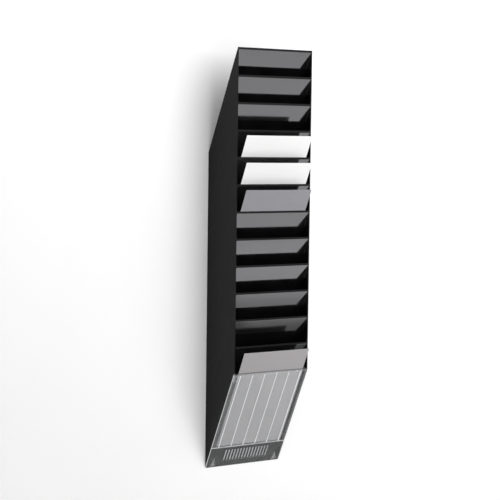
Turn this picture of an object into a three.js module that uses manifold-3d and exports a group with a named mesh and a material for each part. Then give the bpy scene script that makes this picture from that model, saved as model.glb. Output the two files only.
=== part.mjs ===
// Wall rack for charts: a stack of leaning pocket trays, closed at its foot by a clear ribbed cover, with
// loose sheets standing in some of the pockets and screws through some of the back flanges into the wall.
//
// Millimetres, +Z up, +X to the right of someone who faces the rack, and -Y out from the wall. The wall is
// the plane Y = 0, and the origin lies on it, in the middle of the back flange of one of the trays.

import * as THREE from 'three';
import { mergeVertices } from 'three/addons/utils/BufferGeometryUtils.js';
import Module from 'manifold-3d';

// Sheets: the standard size that the pockets are made for
const SHEET_WIDTH = 210;
const SHEET_LENGTH = 297;
const SHEET_THICKNESS = 0.9;
const SHEET_SIDE_GAP = 12;

// Stack of trays
const TRAY_COUNT = 12;
const TRAY_PITCH = 71.3;
const RACK_DEPTH = 135;
const PANEL_DROP = 274;
const SEAM = 0.3;

// Walls of a tray
const PANEL_THICKNESS = 2.5;
const SIDE_THICKNESS = 3;
const FLOOR_THICKNESS = 2.5;
const FLOOR_SETBACK = 6;
const FLANGE_THICKNESS = 3;

// Rib behind a panel, which the floor of the tray above rests on
const REST_RIB_THICKNESS = 2.5;
const REST_RIB_HEIGHT = 5;

// Tabs under the side walls, which drop into slots of the next tray
const TAB_LENGTH = 16;
const TAB_THICKNESS = 1.2;
const TAB_HEIGHT = 2;
const TAB_END_DISTANCE = 70;

// Screws into the wall
const SCREW_SPACING = 160;
const SCREW_SHANK_DIAMETER = 4.5;
const SCREW_CLEARANCE = 0.5;
const SCREW_LENGTH = 32;
const SCREW_TIP_LENGTH = 7;
const SCREW_HEAD_DIAMETER = 9;
const SCREW_HEAD_HEIGHT = 3.2;
const SCREW_CROWN_DIAMETER = 6.5;
const RECESS_WIDTH = 1.1;
const RECESS_SPAN = 4.6;
const RECESS_DEPTH = 1.8;
const ROUND_SIDES = 20;

// Clear cover
const RIB_COUNT = 6;
const RIB_SPACING = 39.2;
const RIB_WIDTH = 2.6;
const RIB_HEIGHT = 0.9;
const RIB_TOP_GAP = 2;
const BAR_COUNT = 15;
const BAR_SPACING = 9.8;
const BAR_WIDTH = 3;
const BAR_HEIGHT = 0.6;
const BAR_LENGTH = 37;
const BAR_TOP_GAP = 9.7;
const WEDGE_WIDTH = 15;
const WEDGE_LENGTH = 25;
const WEDGE_HEIGHT = 0.8;
const WEDGE_SIDE_GAP = 12;
const WEDGE_END_GAP = 5;
const COVER_FLANGE_THICKNESS = 2;
const COVER_FLANGE_DEPTH = 12;
const COVER_FLANGE_TOP_GAP = 4;
const COVER_FLANGE_FLOOR_GAP = 1;

// Which pockets hold a sheet, which trays are screwed to the wall, and whose flange holds the origin
const WHITE_SHEET_POCKETS = [4, 5];
const GREY_SHEET_POCKETS = [6, 12];
const SCREWED_TRAYS = [1, 4, 7, 10];
const ORIGIN_TRAY = 6;

// What follows from those sizes
const RACK_WIDTH = SHEET_WIDTH + 2 * (SHEET_SIDE_GAP + SIDE_THICKNESS);
const HALF_WIDTH = RACK_WIDTH / 2;
const HALF_INSIDE = HALF_WIDTH - SIDE_THICKNESS;
const LEAN = Math.atan2(RACK_DEPTH, PANEL_DROP);
const PANEL_LENGTH = Math.hypot(RACK_DEPTH, PANEL_DROP);
const TRAY_DEPTH = TRAY_PITCH * Math.sin(LEAN);
const TRAY_SHIFT = TRAY_PITCH * Math.cos(LEAN);
const OPEN_DEPTH = TRAY_DEPTH - SEAM;
const FLOOR_DISTANCE = PANEL_LENGTH - FLOOR_SETBACK;
const REST_RIB_DISTANCE = FLOOR_DISTANCE + FLOOR_THICKNESS + SEAM - TRAY_SHIFT;
const TOP_HEIGHT = PANEL_DROP + (ORIGIN_TRAY - 0.5) * TRAY_PITCH;
const OVERLAP = 1;

const wasm = await Module();
wasm.setup();

// Closed bodies, joined and cut

function toSolid(geometry) {
  geometry.deleteAttribute('normal');
  geometry.deleteAttribute('uv');
  const merged = mergeVertices(geometry);
  return new wasm.Manifold(new wasm.Mesh({
    numProp: 3,
    vertProperties: new Float32Array(merged.attributes.position.array),
    triVerts: new Uint32Array(merged.index.array),
  }));
}

function toGeometry(solid) {
  const mesh = solid.getMesh();
  const geometry = new THREE.BufferGeometry();
  geometry.setAttribute('position', new THREE.BufferAttribute(mesh.vertProperties, 3));
  geometry.setIndex(new THREE.BufferAttribute(mesh.triVerts, 1));
  geometry.computeVertexNormals();
  return geometry;
}

const joinAll = (solids) => solids.reduce((whole, piece) => whole.add(piece));
const cutAll = (solid, tools) => tools.reduce((rest, tool) => rest.subtract(tool), solid);

// The side view of a tray. Its lip, the top front edge of its panel, is at height 0 and the wall is at Y = 0.
// A depth counts from the back face of the panel towards the front, square to the panel.

// The point at a given Y on the line that runs down the slope at a given depth
function onSlope(y, depth) {
  return new THREE.Vector2(y, -(y + RACK_DEPTH) / Math.tan(LEAN) - depth / Math.sin(LEAN));
}

// The point at a given distance down the slope from the lip, and at a given depth
function downSlope(distance, depth) {
  const y = -RACK_DEPTH + distance * Math.sin(LEAN) - depth * Math.cos(LEAN);
  return new THREE.Vector2(y, -distance * Math.cos(LEAN) - depth * Math.sin(LEAN));
}

// A slab along the slope, between two upright planes and two depths
function slopeOutline(fromY, toY, fromDepth, toDepth) {
  return [onSlope(fromY, fromDepth), onSlope(toY, fromDepth), onSlope(toY, toDepth), onSlope(fromY, toDepth)];
}

// A block with its ends square to the slope, between two distances and two depths
function squareOutline(from, to, fromDepth, toDepth) {
  return [
    downSlope(from, fromDepth),
    downSlope(to, fromDepth),
    downSlope(to, toDepth),
    downSlope(from, toDepth),
  ];
}

// Side-view points (Y, Z) carried across the rack, from one X to another
const ACROSS = new THREE.Matrix4().makeBasis(
  new THREE.Vector3(0, 1, 0),
  new THREE.Vector3(0, 0, 1),
  new THREE.Vector3(1, 0, 0),
);

function across(outline, fromX, toX) {
  const shape = new THREE.Shape(outline);
  const geometry = new THREE.ExtrudeGeometry(shape, { depth: toX - fromX, bevelEnabled: false });
  geometry.applyMatrix4(ACROSS);
  geometry.translate(fromX, 0, 0);
  return toSolid(geometry);
}

// The same block on the left and on the right, between two distances from the middle
function bothSides(outline, fromX, toX) {
  return [across(outline, -toX, -fromX), across(outline, fromX, toX)];
}

// Tabs and the slots that take them: a pair near the lip and a pair near the wall, in the middle of the walls

function tabs(clearance, fromDepth, toDepth) {
  const middle = HALF_WIDTH - SIDE_THICKNESS / 2;
  const halfThickness = TAB_THICKNESS / 2 + clearance;
  const halfLength = TAB_LENGTH / 2 + clearance;
  return [TAB_END_DISTANCE, PANEL_LENGTH - TAB_END_DISTANCE].flatMap((distance) => {
    const outline = squareOutline(distance - halfLength, distance + halfLength, fromDepth, toDepth);
    return bothSides(outline, middle - halfThickness, middle + halfThickness);
  });
}

// A tab hangs below its wall, where it meets the next tray's panel one shift further down the slope
const tabSlots = () => tabs(SEAM, -OVERLAP, TAB_HEIGHT + SEAM);

function wallTabs() {
  const shift = downSlope(TRAY_SHIFT, TRAY_DEPTH).sub(downSlope(0, 0));
  return tabs(0, -SEAM - OVERLAP, TAB_HEIGHT).map((tab) => tab.translate([0, shift.x, shift.y]));
}

function restRib() {
  const outline = squareOutline(
    REST_RIB_DISTANCE,
    REST_RIB_DISTANCE + REST_RIB_THICKNESS,
    -REST_RIB_HEIGHT,
    PANEL_THICKNESS / 2,
  );
  return across(outline, SEAM - HALF_INSIDE, HALF_INSIDE - SEAM);
}

// One tray: a leaning panel with two side walls, a floor square to the panel and a flange on the wall. The
// flange has holes where the tray is screwed to the wall.

const SCREW_HEIGHT = -PANEL_DROP - TRAY_PITCH / 2;

function screwHole(x) {
  const radius = SCREW_SHANK_DIAMETER / 2 + SCREW_CLEARANCE;
  const geometry = new THREE.CylinderGeometry(radius, radius, 2 * FLANGE_THICKNESS, ROUND_SIDES);
  geometry.translate(x, -FLANGE_THICKNESS / 2, SCREW_HEIGHT);
  return toSolid(geometry);
}

function trayGeometry(isScrewed) {
  const panel = across(slopeOutline(-RACK_DEPTH, 0, 0, PANEL_THICKNESS), -HALF_WIDTH, HALF_WIDTH);
  const sides = bothSides(slopeOutline(-RACK_DEPTH, 0, 0, OPEN_DEPTH), HALF_INSIDE, HALF_WIDTH);
  const reach = HALF_INSIDE + SIDE_THICKNESS / 2;
  const floorEnd = FLOOR_DISTANCE + FLOOR_THICKNESS;
  const floorOutline = squareOutline(FLOOR_DISTANCE, floorEnd, PANEL_THICKNESS / 2, OPEN_DEPTH);
  const floor = across(floorOutline, -reach, reach);
  const flange = across(slopeOutline(-FLANGE_THICKNESS, 0, PANEL_THICKNESS / 2, OPEN_DEPTH), -reach, reach);
  const body = joinAll([panel, ...sides, floor, flange, restRib(), ...wallTabs()]);
  const holes = isScrewed ? [screwHole(-SCREW_SPACING / 2), screwHole(SCREW_SPACING / 2)] : [];
  return toGeometry(cutAll(body, [...tabSlots(), ...holes]));
}

// The clear cover: the front of the lowest pocket, with ribs outside and a flange inside each side wall

const RIB_TOP = PANEL_THICKNESS / Math.tan(LEAN) + RIB_TOP_GAP;
const FACE = PANEL_THICKNESS;
const SUNK = PANEL_THICKNESS / 2;

function raisedBar(x, width, from, to, height) {
  return across(squareOutline(from, to, SUNK, FACE + height), x - width / 2, x + width / 2);
}

// Places of so many pieces at an even spacing, centred on the middle of the rack
function evenPlaces(count, spacing) {
  return Array.from({ length: count }, (_, i) => (i - (count - 1) / 2) * spacing);
}

function longRibs() {
  return evenPlaces(RIB_COUNT, RIB_SPACING).map((x) => (
    raisedBar(x, RIB_WIDTH, RIB_TOP, REST_RIB_DISTANCE + OVERLAP, RIB_HEIGHT)
  ));
}

function shortBars() {
  const from = REST_RIB_DISTANCE + REST_RIB_THICKNESS + BAR_TOP_GAP;
  return evenPlaces(BAR_COUNT, BAR_SPACING).map((x) => (
    raisedBar(x, BAR_WIDTH, from, from + BAR_LENGTH, BAR_HEIGHT)
  ));
}

// A raised triangle near a lower corner of the cover, pointing up the slope
function wedge(side) {
  const x = side * (HALF_WIDTH - WEDGE_SIDE_GAP - WEDGE_WIDTH / 2);
  const shape = new THREE.Shape([
    new THREE.Vector2(x - WEDGE_WIDTH / 2, 0),
    new THREE.Vector2(x + WEDGE_WIDTH / 2, 0),
    new THREE.Vector2(x, WEDGE_LENGTH),
  ]);
  const height = FACE + WEDGE_HEIGHT - SUNK;
  const geometry = new THREE.ExtrudeGeometry(shape, { depth: height, bevelEnabled: false });
  const foot = downSlope(PANEL_LENGTH - WEDGE_END_GAP, SUNK);
  geometry.rotateX(Math.PI / 2 + LEAN);
  geometry.translate(0, foot.x, foot.y);
  return toSolid(geometry);
}

function coverPlate() {
  const wallFoot = onSlope(0, 0);
  const frontFoot = onSlope(-RACK_DEPTH, PANEL_THICKNESS);
  const footY = -RACK_DEPTH + (frontFoot.y - wallFoot.y) * Math.tan(LEAN);
  const outline = [onSlope(-RACK_DEPTH, 0), wallFoot, new THREE.Vector2(footY, wallFoot.y), frontFoot];
  return across(outline, -HALF_WIDTH, HALF_WIDTH);
}

function coverGeometry() {
  const floorFront = FLOOR_DISTANCE - TRAY_SHIFT;
  const flangeEnd = floorFront - COVER_FLANGE_FLOOR_GAP;
  const flangeOutline = squareOutline(COVER_FLANGE_TOP_GAP, flangeEnd, -COVER_FLANGE_DEPTH, SUNK);
  const flangeOutside = HALF_INSIDE - SEAM;
  const flanges = bothSides(flangeOutline, flangeOutside - COVER_FLANGE_THICKNESS, flangeOutside);
  const crossEnd = REST_RIB_DISTANCE + REST_RIB_THICKNESS;
  const crossRib = raisedBar(0, RACK_WIDTH, REST_RIB_DISTANCE, crossEnd, RIB_HEIGHT);
  const raised = [...longRibs(), crossRib, ...shortBars(), wedge(-1), wedge(1)];
  return toGeometry(cutAll(joinAll([coverPlate(), restRib(), ...flanges, ...raised]), tabSlots()));
}

// A sheet stands on the floor of its pocket and leans on the panel in front of it

function sheetGeometry() {
  const foot = FLOOR_DISTANCE - SEAM;
  const front = TRAY_DEPTH - SEAM;
  const outline = squareOutline(foot - SHEET_LENGTH, foot, front - SHEET_THICKNESS, front);
  return toGeometry(across(outline, -SHEET_WIDTH / 2, SHEET_WIDTH / 2));
}

// A wall screw: a domed head with a cross recess in front of the flange, and a pointed shank through its hole

function screwGeometry() {
  const shank = SCREW_SHANK_DIAMETER / 2;
  const profile = [
    new THREE.Vector2(0, SCREW_LENGTH),
    new THREE.Vector2(shank, SCREW_LENGTH - SCREW_TIP_LENGTH),
    new THREE.Vector2(shank, 0),
    new THREE.Vector2(SCREW_HEAD_DIAMETER / 2, 0),
    new THREE.Vector2(SCREW_HEAD_DIAMETER / 2, -SCREW_HEAD_HEIGHT / 2),
    new THREE.Vector2(SCREW_CROWN_DIAMETER / 2, -SCREW_HEAD_HEIGHT),
    new THREE.Vector2(0, -SCREW_HEAD_HEIGHT),
  ];
  const body = toSolid(new THREE.LatheGeometry(profile.reverse(), ROUND_SIDES));
  const recess = [[RECESS_SPAN, RECESS_WIDTH], [RECESS_WIDTH, RECESS_SPAN]].map(([width, height]) => {
    const arm = new THREE.BoxGeometry(width, 2 * RECESS_DEPTH, height);
    return toSolid(arm.translate(0, -SCREW_HEAD_HEIGHT, 0));
  });
  return toGeometry(cutAll(body, recess));
}

// Materials

const blackPlastic = new THREE.MeshStandardMaterial({ color: 0x17171a, roughness: 0.3, metalness: 0 });
const whitePaper = new THREE.MeshStandardMaterial({ color: 0xf6f6f4, roughness: 0.85, metalness: 0 });
const greyPaper = new THREE.MeshStandardMaterial({ color: 0x9c999a, roughness: 0.85, metalness: 0 });
const zincSteel = new THREE.MeshStandardMaterial({ color: 0xb4b6ba, roughness: 0.35, metalness: 1 });
const clearPlastic = new THREE.MeshStandardMaterial({
  color: 0xe6eaec,
  roughness: 0.08,
  metalness: 0,
  transparent: true,
  opacity: 0.35,
});

// The rack

const rack = new THREE.Group();
const twoDigits = (number) => String(number).padStart(2, '0');
const trayHeight = (number) => TOP_HEIGHT - (number - 1) * TRAY_PITCH;

function addPiece(name, geometry, material, x, y, z) {
  const piece = new THREE.Mesh(geometry, material);
  piece.name = name;
  piece.position.set(x, y, z);
  rack.add(piece);
}

const plainTray = trayGeometry(false);
const screwedTray = trayGeometry(true);
for (let number = 1; number <= TRAY_COUNT; number += 1) {
  const tray = SCREWED_TRAYS.includes(number) ? screwedTray : plainTray;
  addPiece(`pocket_tray_${twoDigits(number)}`, tray, blackPlastic, 0, 0, trayHeight(number));
}

addPiece('clear_front_cover', coverGeometry(), clearPlastic, 0, 0, trayHeight(TRAY_COUNT + 1));

const sheet = sheetGeometry();
for (const number of [...WHITE_SHEET_POCKETS, ...GREY_SHEET_POCKETS]) {
  const paper = WHITE_SHEET_POCKETS.includes(number) ? whitePaper : greyPaper;
  addPiece(`sheet_pocket_${twoDigits(number)}`, sheet, paper, 0, 0, trayHeight(number));
}

const screw = screwGeometry();
for (const number of SCREWED_TRAYS) {
  for (const [side, x] of [['left', -SCREW_SPACING / 2], ['right', SCREW_SPACING / 2]]) {
    const name = `wall_screw_${twoDigits(number)}_${side}`;
    addPiece(name, screw, zincSteel, x, -FLANGE_THICKNESS - SEAM, trayHeight(number) + SCREW_HEIGHT);
  }
}

export default rack;
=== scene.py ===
# %% [markdown]
# # A wall rack for charts
#
# Twelve black pocket trays are clipped one below the other and screwed to a wall. Each leans out from the
# wall at the top, so that a sheet dropped into it shows its upper edge. The lowest pocket is closed in front
# by a clear ribbed cover, and four pockets hold a sheet.
#
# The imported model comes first. It is a fixed frame in metres: X runs along the wall, Z is up, the wall is
# the plane Y = 0 and the rack stands out from it towards -Y. Its box is kept, to compare with at the end.

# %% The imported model
import math

import bmesh
import bpy
import numpy as np
from mathutils import Matrix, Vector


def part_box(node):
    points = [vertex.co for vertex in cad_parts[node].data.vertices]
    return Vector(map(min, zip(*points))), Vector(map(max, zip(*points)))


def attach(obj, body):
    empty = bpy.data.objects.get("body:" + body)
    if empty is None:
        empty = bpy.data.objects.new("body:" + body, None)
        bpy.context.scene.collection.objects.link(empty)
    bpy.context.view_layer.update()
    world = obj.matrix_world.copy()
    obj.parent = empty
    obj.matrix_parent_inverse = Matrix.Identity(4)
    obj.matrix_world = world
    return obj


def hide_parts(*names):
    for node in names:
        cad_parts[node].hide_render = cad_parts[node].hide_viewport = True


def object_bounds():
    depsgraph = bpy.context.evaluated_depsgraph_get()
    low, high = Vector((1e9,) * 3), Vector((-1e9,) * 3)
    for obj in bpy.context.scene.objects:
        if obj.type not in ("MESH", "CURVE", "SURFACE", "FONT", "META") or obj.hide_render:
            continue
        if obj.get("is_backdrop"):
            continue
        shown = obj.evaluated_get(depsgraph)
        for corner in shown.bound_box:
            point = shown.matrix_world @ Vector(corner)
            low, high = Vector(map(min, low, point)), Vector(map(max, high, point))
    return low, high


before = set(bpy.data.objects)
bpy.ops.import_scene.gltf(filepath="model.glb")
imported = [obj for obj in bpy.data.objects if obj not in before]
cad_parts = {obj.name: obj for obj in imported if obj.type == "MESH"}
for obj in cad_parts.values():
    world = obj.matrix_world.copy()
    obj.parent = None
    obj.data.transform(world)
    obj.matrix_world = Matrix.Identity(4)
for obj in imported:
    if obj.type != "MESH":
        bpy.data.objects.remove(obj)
cad_box = [list(corner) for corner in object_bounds()]
bpy.context.scene.view_settings.view_transform = "Standard"
print("packed nodes:", len(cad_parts), "box", np.round(cad_box, 4).tolist())

# %% [markdown]
# ## The camera
#
# A camera can be set by eye or worked out. This one was worked out from the edges of the rack: where known
# edges fall in the picture fixes the place, the direction and the focal length. A long lens stands more than
# four metres away, left of the rack and a little above its middle, and is rolled by less than one degree. The
# three axes of the camera are built from yaw, pitch and roll, with no lens shift.

# %% Camera
CAMERA_PLACE = (-2.4328, -3.5804, 0.42215)
CAMERA_YAW, CAMERA_PITCH, CAMERA_ROLL = np.radians([34.397, -3.917, 0.736])
CAMERA_LENS, SENSOR_WIDTH = 114.46, 36

forward = np.array([
    math.sin(CAMERA_YAW) * math.cos(CAMERA_PITCH),
    math.cos(CAMERA_YAW) * math.cos(CAMERA_PITCH),
    math.sin(CAMERA_PITCH),
])
level = np.array([math.cos(CAMERA_YAW), -math.sin(CAMERA_YAW), 0])
upward = np.cross(level, forward)
rightward = math.cos(CAMERA_ROLL) * level + math.sin(CAMERA_ROLL) * upward
upward = np.cross(rightward, forward)

camera = bpy.data.objects.new("camera", bpy.data.cameras.new("camera"))
camera.data.lens = CAMERA_LENS
camera.data.sensor_width = SENSOR_WIDTH
pose = np.eye(4)
pose[:3, 0], pose[:3, 1], pose[:3, 2], pose[:3, 3] = rightward, upward, -forward, CAMERA_PLACE
camera.matrix_world = Matrix(pose.tolist())
bpy.context.scene.collection.objects.link(camera)
bpy.context.scene.camera = camera
print("camera", CAMERA_PLACE, "lens", CAMERA_LENS)

# %% [markdown]
# ## The sizes everything follows
#
# Nothing is measured twice. The width, the depth, the drop of a panel and the step from tray to tray come
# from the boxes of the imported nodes, and the wall thicknesses repeat the ones of the model. A tray is easiest
# to think of on its slope: a distance runs down the panel from the lip, and a depth stands square to the
# panel, from its back face towards the front.

# %% Sizes
tray_low, tray_high = (np.array(corner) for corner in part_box("pocket_tray_01"))
second_high = np.array(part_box("pocket_tray_02")[1])
cover_low = np.array(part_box("clear_front_cover")[0])

HALF_WIDTH = tray_high[0]
RACK_DEPTH = -tray_low[1]
TRAY_PITCH = tray_high[2] - second_high[2]
TRAY_COUNT = sum(name.startswith("pocket_tray_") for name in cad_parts)
TOP_LIP = tray_high[2]
PANEL_DROP = TOP_LIP - TRAY_COUNT * TRAY_PITCH - cover_low[2]

SIDE_THICKNESS = 0.003
PANEL_THICKNESS = 0.0025
FLOOR_THICKNESS = 0.0025
FLOOR_SETBACK = 0.006
FLANGE_THICKNESS = 0.003
REST_RIB_THICKNESS = 0.0025
SEAM = 0.0003

LEAN = math.atan2(RACK_DEPTH, PANEL_DROP)
PANEL_LENGTH = math.hypot(RACK_DEPTH, PANEL_DROP)
TRAY_DEPTH = TRAY_PITCH * math.sin(LEAN)
TRAY_SHIFT = TRAY_PITCH * math.cos(LEAN)
HALF_INSIDE = HALF_WIDTH - SIDE_THICKNESS
FLOOR_DISTANCE = PANEL_LENGTH - FLOOR_SETBACK
REST_RIB_DISTANCE = FLOOR_DISTANCE + FLOOR_THICKNESS + SEAM - TRAY_SHIFT


def on_slope(y, depth):
    """Height of the line down the slope at a depth, where it crosses a plane y: the drop from the lip is
    the way back from the front over the tangent of the lean, and a depth lowers it by depth over sine."""
    return -(y + RACK_DEPTH) / math.tan(LEAN) - depth / math.sin(LEAN)


def down_slope(distance, depth):
    """(y, z) of a point so far down the slope from the lip and so deep: both steps turned by the lean."""
    y = -RACK_DEPTH + distance * math.sin(LEAN) - depth * math.cos(LEAN)
    return np.stack(np.broadcast_arrays(y, -distance * math.cos(LEAN) - depth * math.sin(LEAN)), axis=-1)


def lip_height(number):
    """Height of a tray's lip: one pitch below the tray above it."""
    return TOP_LIP - (number - 1) * TRAY_PITCH


print(f"{TRAY_COUNT} trays, lean {math.degrees(LEAN):.2f} degrees")
print(f"pitch {TRAY_PITCH:.4f}, depth of a tray {TRAY_DEPTH:.4f}")

# %% [markdown]
# ## From arrays to meshes
#
# Every new piece is a grid of points or an outline carried along a path, so a few helpers turn arrays into
# a mesh. Each shell has three parts: an array of points, a list of faces that counts from zero, and the
# number of each face's finish, or one number for all. Shells of one piece are put together by adding the
# number of points that came before. At the end doubles are merged and the faces are turned outwards, so a
# seam of a grid closes.

# %% Mesh helpers
MERGE_DISTANCE, EMPTY_DISTANCE = 1e-6, 1e-7


def cells(rows, columns, wrap=False):
    """The four corners of each cell of a grid whose point (r, c) has the number r * columns + c. With wrap
    the last column joins the first."""
    r, c = np.mgrid[0:rows - 1, 0:columns if wrap else columns - 1]
    n = (c + 1) % columns
    corners = [r * columns + c, r * columns + n, (r + 1) * columns + n, (r + 1) * columns + c]
    return np.stack(corners, axis=-1).reshape(-1, 4)


def joined(shells):
    """Shells (points, faces, finish numbers) put into one: each list of faces counts on from the last."""
    starts = np.cumsum([0] + [len(points) for points, _, _ in shells])
    points = np.vstack([points for points, _, _ in shells])
    faces = [
        [corner + start for corner in face]
        for (_, part, _), start in zip(shells, starts) for face in part
    ]
    finish = np.concatenate([np.broadcast_to(number, len(part)) for _, part, number in shells])
    return points, faces, finish


def make_piece(name, shell, finishes, smooth_angle=40):
    """An object at the origin from one shell: doubles merged, faces outwards, smooth up to an angle."""
    points, faces, finish = shell
    mesh = bpy.data.meshes.new(name)
    mesh.from_pydata(np.asarray(points).tolist(), [], [list(map(int, face)) for face in faces])
    mesh.polygons.foreach_set("material_index", np.asarray(finish, dtype=np.int32))
    work = bmesh.new()
    work.from_mesh(mesh)
    bmesh.ops.remove_doubles(work, verts=work.verts, dist=MERGE_DISTANCE)
    bmesh.ops.dissolve_degenerate(work, edges=work.edges, dist=EMPTY_DISTANCE)
    bmesh.ops.recalc_face_normals(work, faces=work.faces)
    work.to_mesh(mesh)
    work.free()
    for finish_material in finishes:
        mesh.materials.append(finish_material)
    mesh.shade_smooth()
    mesh.set_sharp_from_angle(angle=math.radians(smooth_angle))
    piece = bpy.data.objects.new(name, mesh)
    bpy.context.scene.collection.objects.link(piece)
    return piece


def even_shading(piece):
    """Large flat faces keep their own direction beside a small round: normals weighted by face area."""
    modifier = piece.modifiers.new("even_shading", "WEIGHTED_NORMAL")
    modifier.keep_sharp = True
    modifier.weight = 100


print("mesh helpers ready")

# %% [markdown]
# Three shapes come back often. A bar is a side view carried straight across the rack. Its corners are
# eased, because no moulded edge is quite sharp. A plate is two grids of points with the same numbering, a
# front and a back, which a strip of faces round the rim joins into a closed shape.

# %% Outlines, bars and plates


def arc(centre_x, centre_d, radius, start, end, steps=6):
    """Points on a circle between two angles in degrees, both ends included."""
    angle = np.radians(np.linspace(start, end, steps))
    return np.column_stack([centre_x + radius * np.cos(angle), centre_d + radius * np.sin(angle)])


def eased(corners, ease, steps=4):
    """A convex outline with its corners rounded: each corner P is swapped for the curve
    (1-u)^2 A + 2u(1-u) P + u^2 B, where A and B lie on its two edges at the distance ease."""
    corners = np.asarray(corners, dtype=float)
    before = np.roll(corners, 1, axis=0) - corners
    after = np.roll(corners, -1, axis=0) - corners
    a = corners + before / np.linalg.norm(before, axis=1, keepdims=True) * ease
    b = corners + after / np.linalg.norm(after, axis=1, keepdims=True) * ease
    u = np.linspace(0, 1, steps)[None, :, None]
    curve = (1 - u) ** 2 * a[:, None] + 2 * u * (1 - u) * corners[:, None] + u ** 2 * b[:, None]
    return curve.reshape(-1, 2)


def bar_across(outline, from_x, to_x, finish=0):
    """A side-view outline (y, z) carried straight across the rack, and closed at both ends."""
    count = len(outline)
    points = np.concatenate([np.column_stack([np.full(count, x), outline]) for x in (from_x, to_x)])
    faces = cells(2, count, wrap=True).tolist()
    faces += [list(range(count)), list(range(2 * count - 1, count - 1, -1))]
    return points, faces, finish


def square_outline(start, end, from_depth, to_depth):
    """The four corners of a block with its ends square to the slope."""
    depths = np.array([from_depth, from_depth, to_depth, to_depth])
    return down_slope(np.array([start, end, end, start]), depths)


def closed_plate(front, back):
    """Points and faces of a plate between two grids of points: the front cells, the back cells turned round,
    and a strip round the rim, which starts along the first row."""
    rows, columns, _ = front.shape
    count = rows * columns
    number = np.arange(count).reshape(rows, columns)
    rim = np.concatenate([number[0, :-1], number[:-1, -1], number[-1, :0:-1], number[:0:-1, 0]])
    following = np.roll(rim, -1)
    faces = cells(rows, columns)
    strip = np.column_stack([rim, following, following + count, rim + count])
    points = np.vstack([front.reshape(-1, 3), back.reshape(-1, 3)])
    return points, np.vstack([faces, faces[:, ::-1] + count, strip]).tolist()


print("shape helpers ready")

# %% [markdown]
# ## Materials from nodes
#
# Every material here is Blender's Principled shader with a little texture in its colour, its roughness and
# its bump. The same few nodes come back in each, so each helper adds one of them and links it. All textures
# read Object coordinates, which are metres from the origin of the frame, so a pattern stays on its piece.

# %% Node helpers
NOISE_LOW, NOISE_HIGH = 0.3, 0.7


def new_finish(name):
    """A node material with its Principled shader: (material, node maker, linker, shader)."""
    material = bpy.data.materials.new(name)
    material.use_nodes = True
    tree = material.node_tree
    shader = next(node for node in tree.nodes if node.type == "BSDF_PRINCIPLED")
    return material, tree.nodes.new, tree.links.new, shader


def noise(add, link, scale, detail=2.0, roughness=0.5, stretch=None):
    """A noise texture on Object coordinates, stretched by a Mapping node where stretch is given."""
    place = add("ShaderNodeTexCoord").outputs["Object"]
    if stretch is not None:
        mapping = add("ShaderNodeMapping")
        mapping.inputs["Scale"].default_value = stretch
        link(place, mapping.inputs["Vector"])
        place = mapping.outputs["Vector"]
    texture = add("ShaderNodeTexNoise")
    texture.inputs["Scale"].default_value = scale
    texture.inputs["Detail"].default_value = detail
    texture.inputs["Roughness"].default_value = roughness
    link(place, texture.inputs["Vector"])
    return texture.outputs["Fac"]


def toned(add, link, factor, low, high):
    """A colour ramp from one colour to another over the range of a noise."""
    ramp = add("ShaderNodeValToRGB")
    first, last = ramp.color_ramp.elements
    first.position, last.position = NOISE_LOW, NOISE_HIGH
    first.color, last.color = (*low, 1), (*high, 1)
    link(factor, ramp.inputs["Fac"])
    return ramp.outputs["Color"]


def spread(add, link, factor, low, high):
    """The range of a noise spread over low to high."""
    span = add("ShaderNodeMapRange")
    span.inputs["From Min"].default_value, span.inputs["From Max"].default_value = NOISE_LOW, NOISE_HIGH
    span.inputs["To Min"].default_value, span.inputs["To Max"].default_value = low, high
    link(factor, span.inputs["Value"])
    return span.outputs["Result"]


def bumped(add, link, shader, height, strength, distance):
    """A bump from a height, into the shader's normal."""
    bump = add("ShaderNodeBump")
    bump.inputs["Strength"].default_value = strength
    bump.inputs["Distance"].default_value = distance
    link(height, bump.inputs["Height"])
    link(bump.outputs["Normal"], shader.inputs["Normal"])


def see_through(material, add, link, shader, factor, tint=(1, 1, 1)):
    """The surface becomes a mix of the shader and a tinted Transparent one, by a factor."""
    through, mix = add("ShaderNodeBsdfTransparent"), add("ShaderNodeMixShader")
    through.inputs["Color"].default_value = (*tint, 1)
    output = next(node for node in material.node_tree.nodes if node.type == "OUTPUT_MATERIAL")
    link(factor, mix.inputs["Fac"])
    link(shader.outputs["BSDF"], mix.inputs[1])
    link(through.outputs["BSDF"], mix.inputs[2])
    link(mix.outputs["Shader"], output.inputs["Surface"])


print("node helpers ready")

# %% [markdown]
# ## Black plastic
#
# The trays are one moulding in two finishes. Outside, the mould was textured: a fine grain scatters the light
# and the sides look matt. Inside, it was polished, and the panels mirror whatever is below and in front. The
# colour is nearly black in both. What differs is the roughness and the grain, and both vary a little over the
# surface, as on a real moulding. Object coordinates are metres here, so a noise scale of 1500 gives grains of
# less than a millimetre.

# %% Plastic finishes


def matt_black():
    """Textured outside: sub-millimetre grain, slight patches of tone and roughness."""
    material, add, link, shader = new_finish("black_plastic_textured")
    patches = noise(add, link, scale=14, detail=3)
    tone = toned(add, link, patches, (0.0072, 0.0072, 0.0080), (0.0105, 0.0105, 0.0116))
    link(tone, shader.inputs["Base Color"])
    link(spread(add, link, patches, low=0.46, high=0.56), shader.inputs["Roughness"])
    bumped(add, link, shader, noise(add, link, scale=1500, detail=1), strength=0.22, distance=0.0003)
    shader.inputs["Specular IOR Level"].default_value = 0.12
    return material


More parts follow.
